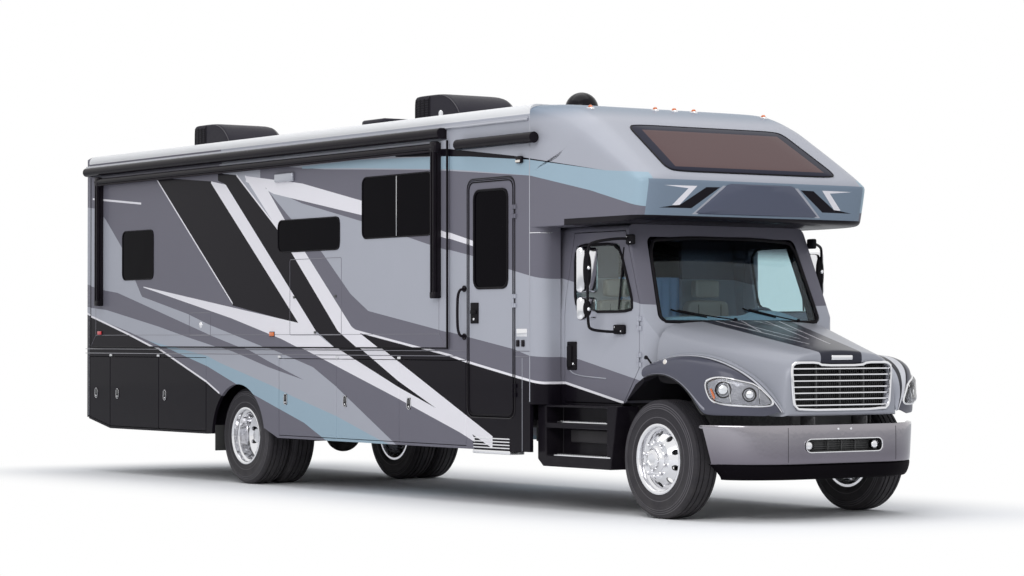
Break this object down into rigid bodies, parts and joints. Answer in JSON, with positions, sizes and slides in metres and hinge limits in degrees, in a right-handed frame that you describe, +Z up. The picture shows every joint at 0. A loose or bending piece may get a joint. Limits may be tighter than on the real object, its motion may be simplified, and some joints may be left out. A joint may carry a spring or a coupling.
{
  "type": "over-cab motorhome on a bonneted truck chassis",
  "caption": "Motorhome with an over-cab body, a slide-out room, baggage bays and a tilting hood, on a bonneted truck chassis with twin rear wheels.",
  "frame": {"origin": "on the ground, midway along the vehicle and on its centre line", "axes": "+X forward, +Y to the vehicle's left, +Z up"},
  "size_m": [11.62, 2.785, 3.9503],
  "materials": {
    "body_silver": "gloss metallic",
    "body_black": "gloss",
    "hood_paint": "gloss metallic",
    "roof_white": "satin",
    "chassis_black": "satin",
    "engine_grey": "matt",
    "tank_plastic": "matt",
    "chrome": "mirror",
    "polished_alloy": "polished",
    "tyre_rubber": "matt",
    "black_plastic": "satin",
    "cab_plastic": "matt",
    "seat_leather": "satin",
    "dark_glass": "tinted",
    "clear_glass": "clear",
    "floor_wood": "satin",
    "awning_fabric": "woven",
    "awning_white": "gloss",
    "lamp_lens": "clear"
  },
  "bodies": {
    "coach": {"chassis_frame": "chassis_black", "engine_block": "engine_grey", "front_axle": "chassis_black", "rear_axle": "chassis_black", "leaf_springs": "chassis_black", "drive_shaft": "chassis_black", "underbody_tanks": "tank_plastic", "bumper": "chrome", "front_valance": "black_plastic", "house_floor": "floor_wood", "side_walls": "body_silver", "rear_wall": "body_silver", "house_roof": "roof_white", "house_windows": "dark_glass", "overcab_cap": "body_silver", "overcab_window": "dark_glass", "baggage_bays": "body_black", "cab_shell": "body_black", "windshield": "clear_glass", "cab_steps": "body_black", "dashboard": "cab_plastic", "cab_seats": "seat_leather", "roof_air_conditioners": "black_plastic", "roof_fittings": "black_plastic", "awning_rollers": "awning_fabric"},
    "steering_wheel": {"steering_wheel": "cab_plastic"},
    "hood": {"hood": "hood_paint", "grille": "chrome", "headlights": "lamp_lens"},
    "entry_door": {"entry_door": "body_silver", "entry_window": "dark_glass"},
    "slide_room": {"slide_out": "body_silver", "slide_windows": "dark_glass", "patio_awning": "awning_white"},
    "knuckle_left": {"knuckle_left": "chassis_black"},
    "front_wheel_left": {"front_rim_left": "polished_alloy", "front_tyre_left": "tyre_rubber"},
    "rear_wheel_left": {"rear_rims_left": "polished_alloy", "rear_tyres_left": "tyre_rubber"},
    "cab_door_left": {"cab_door_left": "hood_paint", "cab_glass_left": "clear_glass", "mirror_left": "chrome"},
    "baggage_door_left_1": {"baggage_door_left_1": "body_black"},
    "baggage_door_left_2": {"baggage_door_left_2": "body_black"},
    "baggage_door_left_3": {"baggage_door_left_3": "body_black"},
    "knuckle_right": {"knuckle_right": "chassis_black"},
    "front_wheel_right": {"front_rim_right": "polished_alloy", "front_tyre_right": "tyre_rubber"},
    "rear_wheel_right": {"rear_rims_right": "polished_alloy", "rear_tyres_right": "tyre_rubber"},
    "cab_door_right": {"cab_door_right": "hood_paint", "cab_glass_right": "clear_glass", "mirror_right": "chrome"},
    "baggage_door_right_1": {"baggage_door_right_1": "body_black"},
    "baggage_door_right_2": {"baggage_door_right_2": "body_black"},
    "baggage_door_right_3": {"baggage_door_right_3": "body_black"},
    "baggage_door_right_4": {"baggage_door_right_4": "body_black"},
    "baggage_door_right_5": {"baggage_door_right_5": "body_black"},
    "baggage_door_right_6": {"baggage_door_right_6": "body_black"}
  },
  "joints": [
    {"name": "steer_left", "type": "hinge", "parent": "coach", "child": "knuckle_left", "pos_m": [4.79, 0.88, 0.5], "axis": [0, 0, 1], "range_deg": [-40, 40]},
    {"name": "front_wheel_left_roll", "type": "hinge", "parent": "knuckle_left", "child": "front_wheel_left", "pos_m": [4.79, 1.04, 0.5], "axis": [0, 1, 0], "continuous": true},
    {"name": "rear_wheel_left_roll", "type": "hinge", "parent": "coach", "child": "rear_wheel_left", "pos_m": [-2.22, 0.908, 0.5], "axis": [0, 1, 0], "continuous": true},
    {"name": "cab_door_left_hinge", "type": "hinge", "parent": "coach", "child": "cab_door_left", "pos_m": [4.374, 1.064, 1.5], "axis": [0, 0, -1], "range_deg": [0, 70]},
    {"name": "baggage_door_left_1_hinge", "type": "hinge", "parent": "coach", "child": "baggage_door_left_1", "pos_m": [-3.996, 1.2705, 0.92], "axis": [0, 0, -1], "range_deg": [0, 90]},
    {"name": "baggage_door_left_2_hinge", "type": "hinge", "parent": "coach", "child": "baggage_door_left_2", "pos_m": [0.882, 1.2705, 0.92], "axis": [0, 0, -1], "range_deg": [0, 90]},
    {"name": "baggage_door_left_3_hinge", "type": "hinge", "parent": "coach", "child": "baggage_door_left_3", "pos_m": [2.052, 1.2705, 0.92], "axis": [0, 0, -1], "range_deg": [0, 90]},
    {"name": "steer_right", "type": "hinge", "parent": "coach", "child": "knuckle_right", "pos_m": [4.79, -0.88, 0.5], "axis": [0, 0, 1], "range_deg": [-40, 40]},
    {"name": "front_wheel_right_roll", "type": "hinge", "parent": "knuckle_right", "child": "front_wheel_right", "pos_m": [4.79, -1.04, 0.5], "axis": [0, 1, 0], "continuous": true},
    {"name": "rear_wheel_right_roll", "type": "hinge", "parent": "coach", "child": "rear_wheel_right", "pos_m": [-2.22, -0.908, 0.5], "axis": [0, 1, 0], "continuous": true},
    {"name": "cab_door_right_hinge", "type": "hinge", "parent": "coach", "child": "cab_door_right", "pos_m": [4.374, -1.064, 1.5], "axis": [0, 0, 1], "range_deg": [0, 70]},
    {"name": "baggage_door_right_1_hinge", "type": "hinge", "parent": "coach", "child": "baggage_door_right_1", "pos_m": [-5.186, -1.2705, 0.92], "axis": [0, 0, 1], "range_deg": [0, 90]},
    {"name": "baggage_door_right_2_hinge", "type": "hinge", "parent": "coach", "child": "baggage_door_right_2", "pos_m": [-4.00847, -1.2705, 0.92], "axis": [0, 0, 1], "range_deg": [0, 90]},
    {"name": "baggage_door_right_3_hinge", "type": "hinge", "parent": "coach", "child": "baggage_door_right_3", "pos_m": [-2.92, -1.2705, 0.92], "axis": [0, 0, 1], "range_deg": [0, 90]},
    {"name": "baggage_door_right_4_hinge", "type": "hinge", "parent": "coach", "child": "baggage_door_right_4", "pos_m": [-0.25045, -1.2705, 0.92], "axis": [0, 0, 1], "range_deg": [0, 90]},
    {"name": "baggage_door_right_5_hinge", "type": "hinge", "parent": "coach", "child": "baggage_door_right_5", "pos_m": [0.90077, -1.2705, 0.92], "axis": [0, 0, 1], "range_deg": [0, 90]},
    {"name": "baggage_door_right_6_hinge", "type": "hinge", "parent": "coach", "child": "baggage_door_right_6", "pos_m": [2.052, -1.2705, 0.92], "axis": [0, 0, 1], "range_deg": [0, 90]},
    {"name": "steering_wheel_turn", "type": "hinge", "parent": "coach", "child": "steering_wheel", "pos_m": [4.218, 0.48, 1.48], "axis": [-0.8192, 0, 0.5736], "range_deg": [-720, 720]},
    {"name": "hood_tilt", "type": "hinge", "parent": "coach", "child": "hood", "pos_m": [5.74, 0, 0.845], "axis": [0, 1, 0], "range_deg": [0, 70]},
    {"name": "entry_door_hinge", "type": "hinge", "parent": "coach", "child": "entry_door", "pos_m": [2.834, -1.2965, 1.85], "axis": [0, 0, 1], "range_deg": [0, 100]},
    {"name": "slide_room_travel", "type": "slide", "parent": "coach", "child": "slide_room", "axis": [0, -1, 0], "range_m": [0, 0.6]}
  ],
  "couplings": [
    {"joint": "steer_right", "follows": "steer_left", "ratio": 1},
    {"joint": "steering_wheel_turn", "follows": "steer_left", "ratio": 18}
  ]
}
